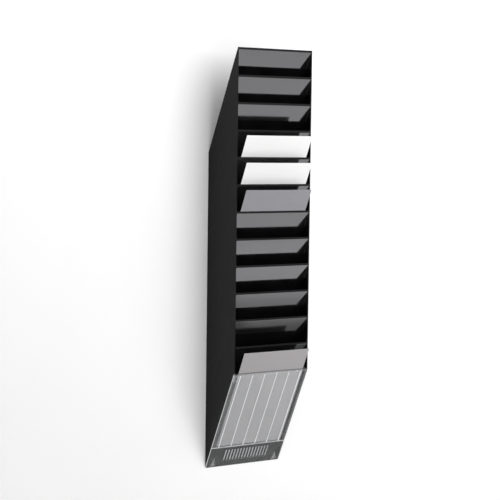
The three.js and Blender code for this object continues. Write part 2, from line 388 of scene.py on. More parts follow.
def gloss_black():
    """Polished inside: a mirror with a breath of haze that varies in soft patches, and faint polishing
    streaks across the panels, from a noise drawn out along X."""
    material, add, link, shader = new_finish("black_plastic_polished")
    patches = noise(add, link, scale=22, detail=2)
    tone = toned(add, link, patches, (0.0030, 0.0030, 0.0034), (0.0052, 0.0052, 0.0057))
    link(tone, shader.inputs["Base Color"])
    link(spread(add, link, patches, low=0.085, high=0.13), shader.inputs["Roughness"])
    streaks = noise(add, link, scale=160, detail=2, stretch=(0.06, 1, 1))
    bumped(add, link, shader, streaks, strength=0.05, distance=0.0004)
    shader.inputs["IOR"].default_value = 1.59
    return material


TRAY_FINISHES = [matt_black(), gloss_black()]
MATT, GLOSS = range(len(TRAY_FINISHES))
print("finishes:", [finish.name for finish in TRAY_FINISHES])

# %% [markdown]
# ## The shell of a tray
#
# Seen from the front, a tray is an upside-down U: the edge of the panel on top and a side wall hanging down
# at each end. Everything behind that is the same outline carried down the slope to the wall. So the shell
# is one profile along one path, which a numpy grid gives at once, where joined boxes would need cuts and
# leave every edge sharp. The first rings near the front draw the outline in a little, which rounds the lip.
#
# The outline is made of an outer and an inner line with the same number of points, so that a strip of faces
# between the two closes each end.

# %% Tray shell
LIP_ROUND = 0.0003
FOOT_ROUND = 0.0001
CORNER_ROUND = 0.0012
TOP_SHOULDER = 0.0008
LEAST_FOOT_ROUND, LEAST_SHOULDER_ROUND = 0.00001, 0.00002
FOOT_GAP = 0.00006
WALL_DEPTH = TRAY_DEPTH - FOOT_GAP


def front_outline(inset, shoulder):
    """The tray from the front as (x, depth): outer line and inner line, four rounded corners each, drawn in
    by inset. Outer rounds shrink by the inset and inner ones grow."""
    side, inner = HALF_WIDTH - inset, HALF_INSIDE + inset
    back, face, foot = inset, PANEL_THICKNESS - inset, WALL_DEPTH - inset
    foot_round = max(FOOT_ROUND - inset, LEAST_FOOT_ROUND)
    shoulder_round = max(shoulder - inset, LEAST_SHOULDER_ROUND)
    corner_round = CORNER_ROUND + inset
    outer = np.vstack([
        arc(foot_round - side, foot - foot_round, foot_round, 90, 180),
        arc(shoulder_round - side, back + shoulder_round, shoulder_round, 180, 270),
        arc(side - shoulder_round, back + shoulder_round, shoulder_round, 270, 360),
        arc(side - foot_round, foot - foot_round, foot_round, 0, 90),
    ])
    inward = np.vstack([
        arc(-inner - foot_round, foot - foot_round, foot_round, 90, 0),
        arc(corner_round - inner, face + corner_round, corner_round, 180, 270),
        arc(inner - corner_round, face + corner_round, corner_round, 270, 360),
        arc(inner + foot_round, foot - foot_round, foot_round, 180, 90),
    ])
    return outer, inward


def tray_shell(shoulder):
    """The front outline carried from the front plane to the wall. A ring lies in an upright plane y, and a
    point (x, depth) of it has the height of the slope there. Over the lip's quarter round the inset falls as
    1 - sin(turn) while y moves back as 1 - cos(turn). The outside and both ends are matt, and the inside is
    glossy."""
    turn = np.radians([0, 30, 60, 90])
    insets = np.append(LIP_ROUND * (1 - np.sin(turn)), 0)
    ys = np.append(LIP_ROUND * (1 - np.cos(turn)) - RACK_DEPTH, 0)
    rings = []
    for inset, y in zip(insets, ys):
        outer, inward = front_outline(inset, shoulder)
        ring = np.vstack([outer, inward[::-1]])
        rings.append(np.column_stack([ring[:, 0], np.full(len(ring), y), on_slope(y, ring[:, 1])]))
    count, half = len(rings[0]), len(rings[0]) // 2
    skin = cells(len(rings), count, wrap=True)
    k = np.arange(half - 1)
    front = np.column_stack([k, k + 1, count - 2 - k, count - 1 - k])
    back = front + (len(rings) - 1) * count
    column = np.tile(np.arange(count), len(rings) - 1)
    skin_finish = np.where(column < half - 1, MATT, GLOSS)
    finish = np.concatenate([skin_finish, np.full(len(front) + len(back), MATT)])
    return np.vstack(rings), np.vstack([skin, front, back]).tolist(), finish


plain_shell = tray_shell(FOOT_ROUND)
print("tray shell:", len(plain_shell[0]), "points", len(plain_shell[1]), "faces")

# %% [markdown]
# ## Floor, flange and rest rib
#
# A floor stands square to the panel at its lower end, and a flange lies flat on the wall. The floor, the
# rib that it rests on and a plain flange are bars, so their side view is carried across. The flange of a
# tray that is screwed to the wall is a plate with two holes: each half of it is a ring of faces between a
# circle and a rectangle, found by shooting a ray from the middle of the hole at each angle until it meets a
# side. That keeps the plate free of long thin triangles, which a boolean cut would leave.

# %% Floor, flange and rib
SCREW_SPACING = 0.160
HOLE_RADIUS, HOLE_STEPS = 0.00275, 48
HOLE_HEIGHT = -PANEL_DROP - TRAY_PITCH / 2
REST_RIB_REACH, REST_RIB_ROOT, REST_RIB_EASE = 0.005, 0.0005, 0.0003
FLOOR_EASE = 0.0004
NEARLY_ZERO = 1e-9


def half_flange(side):
    """One half of the flange round its screw hole. Rim points are the nearest crossing of a ray with the four
    sides; the front rim is one flange thickness further up the slope than the back rim. Faces on the middle
    line are left out, because the other half goes on there."""
    centre = side * SCREW_SPACING / 2
    far, near = side * HALF_INSIDE - centre, -centre
    low = on_slope(0, WALL_DEPTH) - HOLE_HEIGHT
    high = on_slope(0, PANEL_THICKNESS / 2) - HOLE_HEIGHT
    corners = np.arctan2([low, low, high, high], [far, near, far, near])
    even = np.linspace(-math.pi, math.pi, HOLE_STEPS, endpoint=False)
    angle = np.unique(np.round(np.concatenate([even, corners]), 9))
    cos, sin = np.cos(angle), np.sin(angle)
    right, left = max(far, near), min(far, near)
    across = np.where(np.abs(cos) < NEARLY_ZERO, NEARLY_ZERO, cos)
    along = np.where(np.abs(sin) < NEARLY_ZERO, NEARLY_ZERO, sin)
    to_side, to_end = np.where(across > 0, right, left) / across, np.where(along > 0, high, low) / along
    reach = np.minimum(to_side, to_end)
    rise = FLANGE_THICKNESS / math.tan(LEAN)
    ring = lambda radius, y, lift: np.column_stack(
        [centre + radius * cos, np.full(len(angle), y), HOLE_HEIGHT + radius * sin + lift])
    rings = [ring(HOLE_RADIUS, 0, 0), ring(reach, 0, 0), ring(reach, -FLANGE_THICKNESS, rise),
             ring(HOLE_RADIUS, -FLANGE_THICKNESS, 0), ring(HOLE_RADIUS, 0, 0)]
    points = np.vstack(rings)
    faces = cells(len(rings), len(angle), wrap=True)
    on_middle = np.abs(points[faces][:, :, 0]).max(axis=1) < EMPTY_DISTANCE
    return points, faces[~on_middle].tolist(), MATT


def plain_flange():
    """A flange without holes: the strip between the wall and one thickness in front of it."""
    ys = np.array([-FLANGE_THICKNESS, 0, 0, -FLANGE_THICKNESS])
    depths = np.array([PANEL_THICKNESS / 2, PANEL_THICKNESS / 2, WALL_DEPTH, WALL_DEPTH])
    return bar_across(np.column_stack([ys, on_slope(ys, depths)]), -HALF_INSIDE, HALF_INSIDE)


def rest_rib():
    """The rib behind a panel, which the floor of the tray above stands on. Its root lies in the panel."""
    end = REST_RIB_DISTANCE + REST_RIB_THICKNESS
    outline = square_outline(REST_RIB_DISTANCE, end, -REST_RIB_REACH, REST_RIB_ROOT)
    return bar_across(eased(outline, REST_RIB_EASE), SEAM - HALF_INSIDE, HALF_INSIDE - SEAM)


def pocket_floor():
    """The floor of a pocket: a bar square to the slope, from the panel to the open side."""
    end = FLOOR_DISTANCE + FLOOR_THICKNESS
    outline = square_outline(FLOOR_DISTANCE, end, PANEL_THICKNESS / 2, TRAY_DEPTH - SEAM)
    return bar_across(eased(outline, FLOOR_EASE), -HALF_INSIDE, HALF_INSIDE, GLOSS)


print("half of a flange:", len(half_flange(1)[1]), "faces")
print("rib and floor:", len(rest_rib()[0]), "and", len(pocket_floor()[0]), "points")

# %% [markdown]
# ## Slots of the top tray
#
# Each tray has four narrow slots in its shoulders, for the tabs of the tray above. They only show on the top
# tray, where nothing stands. A slot breaks the carried outline, so here a boolean is the simpler way: four
# small bars are taken away from the shell, and the result is read back as points and faces.

# %% Slots
TAB_LENGTH, TAB_THICKNESS, TAB_HEIGHT, TAB_END_DISTANCE = 0.016, 0.0012, 0.002, 0.070
CUT_OVERSHOOT = 0.001


def slot_bars():
    """Four bars where the slots are: near the lip and near the wall, in the middle of each side wall."""
    middle, half = HALF_WIDTH - SIDE_THICKNESS / 2, TAB_THICKNESS / 2 + SEAM
    reach = TAB_LENGTH / 2 + SEAM
    places = (TAB_END_DISTANCE, PANEL_LENGTH - TAB_END_DISTANCE)
    outlines = [
        square_outline(place - reach, place + reach, -CUT_OVERSHOOT, TAB_HEIGHT + SEAM) for place in places
    ]
    return [bar_across(outline, x - half, x + half) for outline in outlines for x in (-middle, middle)]


def slotted(shell):
    """The shell without the four bars, read back from the meshes that a Boolean modifier gives."""
    body = make_piece("shell_to_cut", shell, TRAY_FINISHES)
    bars = make_piece("slot_bars", joined(slot_bars()), TRAY_FINISHES[:1])
    cut = body.modifiers.new("slots", "BOOLEAN")
    cut.operation, cut.object, cut.solver = "DIFFERENCE", bars, "EXACT"
    mesh = bpy.data.meshes.new_from_object(body.evaluated_get(bpy.context.evaluated_depsgraph_get()))
    points = np.empty(len(mesh.vertices) * 3)
    mesh.vertices.foreach_get("co", points)
    finish = np.empty(len(mesh.polygons), dtype=np.int32)
    mesh.polygons.foreach_get("material_index", finish)
    faces = [list(polygon.vertices) for polygon in mesh.polygons]
    for piece in (body, bars):
        bpy.data.objects.remove(piece)
    return points.reshape(-1, 3), faces, finish


top_shell = slotted(tray_shell(TOP_SHOULDER))
print("top shell with slots:", len(top_shell[1]), "faces")

# %% [markdown]
# ## Twelve trays
#
# The trays are alike, but the shoulder of the top one is free and is rounded, while the others meet the
# walls above them and stay sharp, so that the sides read as one plane. A tray whose number is in the name
# of a packed screw gets a flange with holes. Each tray is its own object, with its place in its points,
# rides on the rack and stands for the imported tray.

# %% Trays
screw_names = sorted(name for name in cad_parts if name.startswith("wall_screw_"))
screwed_trays = {int(name.split("_")[2]) for name in screw_names}

for number in range(1, TRAY_COUNT + 1):
    body = top_shell if number == 1 else plain_shell
    flange = [half_flange(-1), half_flange(1)] if number in screwed_trays else [plain_flange()]
    points, faces, finish = joined([body, pocket_floor(), rest_rib(), *flange])
    points = points + [0, 0, lip_height(number)]
    tray = make_piece(f"tray_{number:02d}", (points, faces, finish), TRAY_FINISHES)
    even_shading(tray)
    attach(tray, "rack")
    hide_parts(f"pocket_tray_{number:02d}")
print("trays:", TRAY_COUNT, "of which screwed:", sorted(screwed_trays))

# %% [markdown]
# ## Clear plastic
#
# The cover is a clear moulding. Glass shaders bend light, and then lamps can't reach what is behind them
# without slow caustics, so rays from lamps pass straight through a tinted Transparent shader, and all other
# rays see clear plastic. A little roughness that varies in patches keeps it from looking like a window pane.
#
# One moulding has several finishes. Ribs, bars and the side and foot edges are whiter: the white share in their
# colour is painted highlight, which stands for the light that a raised edge catches and a clear face lets pass.
# The step beside the sheet mirrors little and looks dark. The cut top edge mirrors little too and has a darker
# tint, which is painted shade for the dark line along it. The strips along both sides have slanting lines,
# which are in the tint alone.

# %% Clear finishes
CLEAR_TONES = np.array([(0.93, 0.945, 0.95), (0.97, 0.98, 0.985)])
HATCH_TONES = (0.16, 0.16, 0.165), (0.95, 0.96, 0.96)
HATCH_SCALE = 150
CLEAR_IOR, HAZE_SPREAD = 1.45, 0.03
LAMP_RAY_TINT = (0.92, 0.93, 0.935)


def clear_plastic(name, haze, whiteness, gloss=0.5, tint=1.0):
    """Clear moulding: Principled that lets all light through but the share of whiteness, and Transparent for
    rays from lamps."""
    material, add, link, shader = new_finish(name)
    patches = noise(add, link, scale=30, detail=3)
    link(toned(add, link, patches, *(tint * CLEAR_TONES)), shader.inputs["Base Color"])
    link(spread(add, link, patches, haze, haze + HAZE_SPREAD), shader.inputs["Roughness"])
    bumped(add, link, shader, noise(add, link, scale=60, detail=1), strength=0.03, distance=0.0003)
    shader.inputs["IOR"].default_value = CLEAR_IOR
    shader.inputs["Specular IOR Level"].default_value = gloss
    shader.inputs["Transmission Weight"].default_value = 1 - whiteness
    from_lamp = add("ShaderNodeLightPath").outputs["Is Shadow Ray"]
    see_through(material, add, link, shader, from_lamp, LAMP_RAY_TINT)
    return material


def hatched(material):
    """Slanting lines in the tint: diagonal bands of a wave, one about every 4 mm across."""
    tree = material.node_tree
    shader = next(node for node in tree.nodes if node.type == "BSDF_PRINCIPLED")
    wave = tree.nodes.new("ShaderNodeTexWave")
    wave.bands_direction = "DIAGONAL"
    wave.inputs["Scale"].default_value = HATCH_SCALE
    tree.links.new(tree.nodes.new("ShaderNodeTexCoord").outputs["Object"], wave.inputs["Vector"])
    lines = toned(tree.nodes.new, tree.links.new, wave.outputs["Fac"], *HATCH_TONES)
    tree.links.new(lines, shader.inputs["Base Color"])
    return material


# The white share of the ribs, comb and bars is painted highlight. The darker tint of the rim finish is painted
# shade.
COVER_FINISHES = [
    clear_plastic("clear_plastic_plain", haze=0.02, whiteness=0.02),
    clear_plastic("clear_plastic_textured", haze=0.06, whiteness=0.13),
    clear_plastic("clear_plastic_bars", haze=0.25, whiteness=0.24),
    clear_plastic("clear_plastic_ribs_painted_highlight", haze=0.3, whiteness=1.0),
    clear_plastic("clear_plastic_comb_painted_highlight", haze=0.3, whiteness=0.5),
    clear_plastic("clear_plastic_step", haze=0.02, whiteness=0.0, gloss=0.05),
    hatched(clear_plastic("clear_plastic_edge", haze=0.2, whiteness=0.2)),
    clear_plastic("clear_plastic_rim_painted_shade", haze=0.2, whiteness=0.0, gloss=0.05, tint=0.5),
]
CLEAR, HAZY, BRIGHT, WHITE_PAINTED_HIGHLIGHT, COMB, DARK_STEP, EDGE, RIM_PAINTED_SHADE = range(len(COVER_FINISHES))
print("finishes:", [finish.name for finish in COVER_FINISHES])

# %% [markdown]
# ## The ribbed cover
#
# The cover is a plate with a raised pattern: six long ribs, a cross rib at the height of the pocket floor, a
# comb of short bars below it, a triangle near each lower corner and two small rings near the upper left one.
# Raised patterns are a height over two parameters, x and the distance s down the slope, so the front of the
# plate is one grid, and the pattern is the highest of its parts at each point.

# %% Cover pattern
RIB_COUNT, RIB_SPACING, RIB_WIDTH, RIB_HEIGHT = 6, 0.0392, 0.0026, 0.0009
BAR_COUNT, BAR_SPACING, BAR_WIDTH, BAR_HEIGHT = 15, 0.0098, 0.003, 0.0006
RIB_CENTRES = (np.arange(RIB_COUNT) - (RIB_COUNT - 1) / 2) * RIB_SPACING
BAR_CENTRES = (np.arange(BAR_COUNT) - (BAR_COUNT - 1) / 2) * BAR_SPACING
RIB_TOP_GAP, BAR_TOP_GAP, BAR_LENGTH = 0.002, 0.0097, 0.037
CROSS_FROM, CROSS_TO = REST_RIB_DISTANCE, REST_RIB_DISTANCE + REST_RIB_THICKNESS
RIB_FROM = PANEL_THICKNESS / math.tan(LEAN) + RIB_TOP_GAP
BAR_FROM = CROSS_TO + BAR_TOP_GAP
BAR_TO = BAR_FROM + BAR_LENGTH
WEDGE_WIDTH, WEDGE_LENGTH, WEDGE_HEIGHT = 0.015, 0.025, 0.0008
WEDGE_SIDE_GAP, WEDGE_FOOT_GAP = 0.012, 0.005
WEDGE_CENTRES = np.array([-1, 1]) * (HALF_WIDTH - WEDGE_SIDE_GAP - WEDGE_WIDTH / 2)
WEDGE_TO = PANEL_LENGTH - WEDGE_FOOT_GAP
WEDGE_FROM = WEDGE_TO - WEDGE_LENGTH
RING_OUTSIDE, RING_INSIDE, RING_HEIGHT, RING_MARGIN = 0.004, 0.0023, 0.0007, 0.006
RING_SIDE_GAP, RING_S = 0.0125, np.array([0.0135, 0.022])
RING_X = RING_SIDE_GAP - HALF_WIDTH
WALL_SLOPE = 0.0003


def between(value, low, high):
    """1 inside a band, 0 outside, with a ramp of WALL_SLOPE just inside each edge."""
    return np.clip(np.minimum(value - low, high - value) / WALL_SLOPE, 0, 1)


def cover_height(x, s):
    """Height of the raised pattern: the highest of the ribs, the cross rib, the bars, the triangles and the
    rings. A triangle is as wide as its taper at s, and a ring is a band of the distance from its middle."""
    near = lambda centres, width: np.max(
        [between(x, c - width / 2, c + width / 2) for c in centres], axis=0)
    ribs = RIB_HEIGHT * near(RIB_CENTRES, RIB_WIDTH) * between(s, RIB_FROM, CROSS_TO)
    cross = RIB_HEIGHT * between(s, CROSS_FROM, CROSS_TO) * between(x, -HALF_WIDTH, HALF_WIDTH)
    bars = BAR_HEIGHT * near(BAR_CENTRES, BAR_WIDTH) * between(s, BAR_FROM, BAR_TO)
    taper = WEDGE_WIDTH / 2 * np.clip((s - WEDGE_FROM) / WEDGE_LENGTH, 0, 1)
    inside = np.max([taper - np.abs(x - c) for c in WEDGE_CENTRES], axis=0)
    wedges = WEDGE_HEIGHT * np.clip(inside / WALL_SLOPE, 0, 1) * between(s, WEDGE_FROM, WEDGE_TO)
    radius = np.hypot(x - RING_X, np.min([np.abs(s - place) for place in RING_S], axis=0))
    rings = RING_HEIGHT * between(radius, RING_INSIDE, RING_OUTSIDE)
    return np.max([ribs, cross, bars, wedges, rings], axis=0)


print("cover pattern:", RIB_COUNT, "ribs,", BAR_COUNT, "bars")

# %% [markdown]
# The lines of the grid fall on the edges of the pattern. Each straight edge gets two lines, so that a rib has
# straight walls and a flat top, and the triangles and rings get a fine grid of their own. A few more lines
# stand where the finish changes: at both sides of the sheet behind the cover, and where the bars fade out.

# %% Cover grid
SHEET_WIDTH, SHEET_LENGTH, SHEET_THICKNESS = 0.210, 0.297, 0.0009
SHEET_SIDE = SHEET_WIDTH / 2
STEP_WIDTH, BAR_WHITE_LENGTH, RIB_START_LENGTH = 0.008, 0.031, 0.01
STEP_END = SHEET_SIDE + STEP_WIDTH
BAR_FADE = BAR_FROM + BAR_WHITE_LENGTH
WEDGE_LINES, RING_LINES = (31, 26), (25, 51)


def edge_lines(edges):
    """Two grid lines for each edge of the pattern: its foot, and its top one WALL_SLOPE inside."""
    edges = np.asarray(edges).reshape(-1, 2)
    return np.concatenate([edges[:, 0], edges[:, 0] + WALL_SLOPE, edges[:, 1] - WALL_SLOPE, edges[:, 1]])


def grid_lines(*groups):
    """Groups of lines put together in order, each line once, to a tenth of a micrometre."""
    return np.unique(np.round(np.concatenate(groups), 7))


x_edges = np.concatenate([
    np.column_stack([RIB_CENTRES - RIB_WIDTH / 2, RIB_CENTRES + RIB_WIDTH / 2]),
    np.column_stack([BAR_CENTRES - BAR_WIDTH / 2, BAR_CENTRES + BAR_WIDTH / 2]),
])
x_wedges = WEDGE_CENTRES[:, None] + np.linspace(-1, 1, WEDGE_LINES[0])[None, :] * WEDGE_WIDTH / 2
x_rings = RING_X + np.linspace(-1, 1, RING_LINES[0]) * RING_OUTSIDE
x_plain = [-HALF_WIDTH, -SHEET_SIDE, SHEET_SIDE, STEP_END, HALF_WIDTH]
COVER_X = grid_lines(x_plain, edge_lines(x_edges), x_wedges.ravel(), x_rings)

s_edges = [[CROSS_FROM, CROSS_TO], [BAR_FROM, BAR_TO], [RIB_FROM, RIB_FROM + RIB_START_LENGTH]]
s_wedges = np.linspace(WEDGE_FROM, WEDGE_TO, WEDGE_LINES[1])
s_rings = np.linspace(RING_S[0] - RING_OUTSIDE, RING_S[1] + RING_OUTSIDE, RING_LINES[1])
s_plain = [WEDGE_TO - WALL_SLOPE, BAR_FADE]
COVER_S = grid_lines(edge_lines(s_edges), s_wedges, s_rings, s_plain)
COVER_GRID = np.meshgrid(COVER_X, np.concatenate([[0], COVER_S, [PANEL_LENGTH]]))
print("cover grid:", COVER_GRID[0].shape[1], "by", COVER_GRID[0].shape[0], "lines")

# %% [markdown]
# The plate is closed by a plain back and a strip all round. Its top is cut upright at the front plane and its
# foot is cut level, so the first and last grid lines start where the slope at their depth meets those planes.
# The finish of a cell follows from the place of its middle: raised cells by the part of the pattern that they
# belong to, and the others by what they lie beside.

# %% Cover
COVER_FLANGE_DEPTH, COVER_FLANGE_THICKNESS, COVER_FLANGE_EASE = 0.012, 0.002, 0.0004
COVER_FLANGE_FROM, COVER_FLANGE_END_GAP = 0.004, 0.001
COVER_SMOOTH_ANGLE = 30
ROUND_RINGS_TO = RING_S[1] + RING_MARGIN
COMB_SIDE = BAR_CENTRES[-1] + BAR_SPACING


def cover_sheet(depth):
    """One face of the plate as a grid of points, from its depth over the grid. The first row lies on the
    front plane, at depth over tan, and the last on the level of the foot."""
    x, s = COVER_GRID[0], COVER_GRID[1].copy()
    s[0] = depth[0] / math.tan(LEAN)
    s[-1] = (PANEL_DROP - depth[-1] * math.sin(LEAN)) / math.cos(LEAN)
    return np.concatenate([x[..., None], down_slope(s, depth)], axis=-1)


def cover_finish(x, s, raised):
    """Finish numbers of the front cells and of the back cells, from the middle (x, s) of each cell."""
    on_sheet, in_comb = np.abs(x) < SHEET_SIDE, np.abs(x) < COMB_SIDE
    top_band = on_sheet & (s < RIB_FROM)
    round_rings = (x < -SHEET_SIDE) & (s < ROUND_RINGS_TO)
    on_step = (x > SHEET_SIDE) & (x < STEP_END)
    plain = np.select(
        [s > CROSS_FROM, top_band | round_rings, on_sheet, on_step], [CLEAR, BRIGHT, HAZY, DARK_STEP], EDGE)
    is_ring = ~on_sheet & (s < CROSS_FROM)
    is_bar = (s > CROSS_FROM) & ((s < CROSS_TO) | (in_comb & (s < BAR_FADE)))
    # Rings take the darker rim tint of painted shade. The cross rib, comb bars and ribs take white painted
    # highlight.
    pattern = np.select([is_ring, is_bar, s < CROSS_TO], [RIM_PAINTED_SHADE, COMB, WHITE_PAINTED_HIGHLIGHT], BRIGHT)
    return np.where(raised, pattern, plain), np.where(plain == DARK_STEP, DARK_STEP, CLEAR)


def cover_plate():
    """Front grid, back grid and the rim between them: the cut top edge has the darker tint of painted shade,
    and the other edges the white of painted highlight.
    """
    x, s = COVER_GRID
    height = cover_height(x, s)
    points, faces = closed_plate(cover_sheet(PANEL_THICKNESS + height), cover_sheet(np.zeros(height.shape)))
    corners = cells(*height.shape)
    raised = height.ravel()[corners].max(axis=1) > MERGE_DISTANCE
    middle_x, middle_s = x.ravel()[corners].mean(axis=1), s.ravel()[corners].mean(axis=1)
    front_finish, back_finish = cover_finish(middle_x, middle_s, raised)
    rim_count, top_count = len(faces) - 2 * len(corners), len(COVER_X) - 1
    # The cut top edge gets the darker tint of painted shade, and the other edges white painted highlight.
    rim_finish = np.where(np.arange(rim_count) < top_count, RIM_PAINTED_SHADE, WHITE_PAINTED_HIGHLIGHT)
    return points, faces, np.concatenate([front_finish, back_finish, rim_finish])


def cover_flange(side):
    """A flange behind the cover, just inside a side wall."""
    end = FLOOR_DISTANCE - TRAY_SHIFT - COVER_FLANGE_END_GAP
    outline = eased(square_outline(COVER_FLANGE_FROM, end, -COVER_FLANGE_DEPTH, 0), COVER_FLANGE_EASE)
    outer = side * (HALF_INSIDE - SEAM)
    return bar_across(outline, outer - side * COVER_FLANGE_THICKNESS, outer, HAZY)


points, faces, finish = joined([cover_plate(), cover_flange(-1), cover_flange(1), rest_rib()])
points = points + [0, 0, lip_height(TRAY_COUNT + 1)]
cover = make_piece("clear_cover", (points, faces, finish), COVER_FINISHES, COVER_SMOOTH_ANGLE)
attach(cover, "rack")
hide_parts("clear_front_cover")
print("cover:", len(faces), "faces")

# %% [markdown]
# ## Paper
#
# Paper is matt, and its look comes from faint fibres: a fine noise stretched one way, in the tone and in the
# bump. Two sheets are white and two are grey.

# %% Paper finishes


def paper(name, low, high):
    """Paper: fine fibres in tone and bump, and larger clouds that hardly show."""
    material, add, link, shader = new_finish(name)
    fibres = noise(add, link, scale=900, detail=4, roughness=0.65, stretch=(1, 0.35, 0.35))
    link(toned(add, link, fibres, low, high), shader.inputs["Base Color"])
    link(spread(add, link, noise(add, link, scale=40), low=0.72, high=0.86), shader.inputs["Roughness"])
    bumped(add, link, shader, fibres, strength=0.12, distance=0.0001)
    shader.inputs["Specular IOR Level"].default_value = 0.25
    return material


WHITE_PAPER = paper("white_paper", (0.90, 0.90, 0.895), (0.94, 0.94, 0.935))
COOL_GREY_PAPER = paper("cool_grey_paper", (0.280, 0.278, 0.294), (0.320, 0.318, 0.337))
WARM_GREY_PAPER = paper("warm_grey_paper", (0.378, 0.362, 0.366), (0.420, 0.404, 0.408))
print("finishes:", WHITE_PAPER.name, COOL_GREY_PAPER.name, WARM_GREY_PAPER.name)

# %% [markdown]
# ## Sheets
#
# A sheet stands on the floor of its pocket and leans on the panel in front of it. Loose paper is never quite
# flat, so its top edge bows by about a millimetre: the bow grows with the square of the distance above the
# panel that it leans on, and is less in the middle of the width.

# %% Sheets
SHEET_COLUMNS, SHEET_ROWS = 33, 49
BOW_IN_MIDDLE = 0.4


def sheet_shell(bow):
    """A closed sheet: a face grid over width u and length v, moved back by bow * free^2 * (m + (1 - m) u^2),
    where free is how far the point stands above the panel, and the same grid one thickness behind it."""
    u, v = np.meshgrid(np.linspace(-1, 1, SHEET_COLUMNS), np.linspace(0, 1, SHEET_ROWS))
    distance = FLOOR_DISTANCE - SEAM - SHEET_LENGTH + v * SHEET_LENGTH
    free = np.clip((TRAY_SHIFT - distance) / TRAY_SHIFT, 0, 1)
    front = TRAY_DEPTH - SEAM - bow * free ** 2 * (BOW_IN_MIDDLE + (1 - BOW_IN_MIDDLE) * u ** 2)
    face = lambda depth: np.concatenate([(u * SHEET_SIDE)[..., None], down_slope(distance, depth)], axis=-1)
    points, faces = closed_plate(face(front), face(front - SHEET_THICKNESS))
    return points, faces, np.zeros(len(faces))


SHEETS = {
    4: (WHITE_PAPER, "white_paper", 0.0012),
    5: (WHITE_PAPER, "white_paper", 0.0009),
    6: (COOL_GREY_PAPER, "grey_paper", 0.001),
    12: (WARM_GREY_PAPER, "grey_paper", 0.0008),
}
for number, (finish_material, slot, bow) in SHEETS.items():
    points, faces, finish = sheet_shell(bow)
    points = points + [0, 0, lip_height(number)]
    sheet = make_piece(f"sheet_{number:02d}_paper", (points, faces, finish), [finish_material])
    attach(sheet, f"sheet_{number:02d}")
    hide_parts(f"sheet_pocket_{number:02d}")
print("sheets:", sorted(SHEETS))

# %% [markdown]
# ## Wall screws
#
# A screw is turned, so it is a profile carried round an axis. Two things break the roundness: the thread,
# where the radius also depends on the angle, so that the crest climbs by one pitch a turn, and the cross
# recess in the head, where the height is lowered inside two crossing bars. Both are functions on the same
# grid.

# %% Zinc finish


def zinc():
    """Zinc-plated steel: bright metal with faint cloudy plating and fine turning marks."""
    material, add, link, shader = new_finish("zinc_plated_steel")
    clouds = noise(add, link, scale=700, detail=3)
    link(toned(add, link, clouds, (0.50, 0.51, 0.52), (0.66, 0.67, 0.68)), shader.inputs["Base Color"])
    link(spread(add, link, clouds, low=0.24, high=0.4), shader.inputs["Roughness"])
    marks = noise(add, link, scale=5000, detail=1, stretch=(1, 6, 1))
    bumped(add, link, shader, marks, strength=0.1, distance=0.00005)
    shader.inputs["Metallic"].default_value = 1
    return material


ZINC = zinc()
print("finish:", ZINC.name)

# %% Screws
SHANK_RADIUS, CORE_RADIUS, THREAD_PITCH = 0.00225, 0.0016, 0.0018
SCREW_LENGTH, TIP_LENGTH, PLAIN_LENGTH = 0.032, 0.007, 0.005
HEAD_RADIUS, HEAD_HEIGHT, HEAD_RIM_HEIGHT = 0.0045, 0.0032, 0.0003
HEAD_DOME, HEAD_UNDERSIDE = 0.72, 0.97
RECESS_WIDTH, RECESS_SPAN, RECESS_DEPTH = 0.0011, 0.0046, 0.0018
RECESS_SIDE_SLOPE, RECESS_END_SLOPE = 0.0001, 0.0002
CREST_SLOPE, CREST_FROM, TIP_POWER = 2.2, 0.5, 0.8
SCREW_COLUMNS, HEAD_ROWS, SHANK_ROWS = 48, 28, 150
SCREW_SMOOTH_ANGLE = 50


def around(radius, y, turn):
    """Points at a radius from the axis and a height y along it, at each share of a turn."""
    angle = 2 * math.pi * turn
    return np.stack(np.broadcast_arrays(radius * np.cos(angle), y, radius * np.sin(angle)), axis=-1)


def recess_bar(a, b):
    """1 inside a bar that lies along b, 0 outside, with sloping walls: one half of the cross recess."""
    across = np.clip((RECESS_WIDTH / 2 - np.abs(a)) / RECESS_SIDE_SLOPE, 0, 1)
    return across * np.clip((RECESS_SPAN / 2 - np.abs(b)) / RECESS_END_SLOPE, 0, 1)


def screw_head(turn):
    """Rows run from the middle over the dome to the rim, down it and in under the head. Over the share r of
    the radius the dome is HEAD_HEIGHT * sqrt(1 - HEAD_DOME * r^2) high, less the depth of the recess."""
    share = np.concatenate([np.linspace(0, 1, HEAD_ROWS)[:-1], [1, 1, HEAD_UNDERSIDE]])[:, None]
    dome = -HEAD_HEIGHT * np.sqrt(np.clip(1 - HEAD_DOME * share ** 2, 0, 1))
    dome[-2:] = [[-HEAD_RIM_HEIGHT], [0]]
    points = around(share * HEAD_RADIUS, dome, turn)
    x, z = points[..., 0], points[..., 2]
    points[..., 1] += RECESS_DEPTH * np.maximum(recess_bar(x, z), recess_bar(z, x))
    return points


def screw_shank(turn):
    """Rows run down to the tip. Thread radius: from core to shank by a crest, which is cut from a triangle
    wave of (y / pitch - turn). It starts below the plain length, and the radius shrinks to nothing along the
    tip."""
    along = np.linspace(0, 1, SHANK_ROWS)[:, None] * SCREW_LENGTH
    wave = np.abs(2 * np.mod(along / THREAD_PITCH - turn, 1) - 1)
    crest = np.clip(CREST_SLOPE * (wave - CREST_FROM), 0, 1)
    starts = np.clip((along - PLAIN_LENGTH) / THREAD_PITCH, 0, 1)
    radius = SHANK_RADIUS + (CORE_RADIUS - SHANK_RADIUS) * starts * (1 - crest)
    radius = radius * np.clip((SCREW_LENGTH - along) / TIP_LENGTH, 0, 1) ** TIP_POWER
    return around(radius, along, turn)


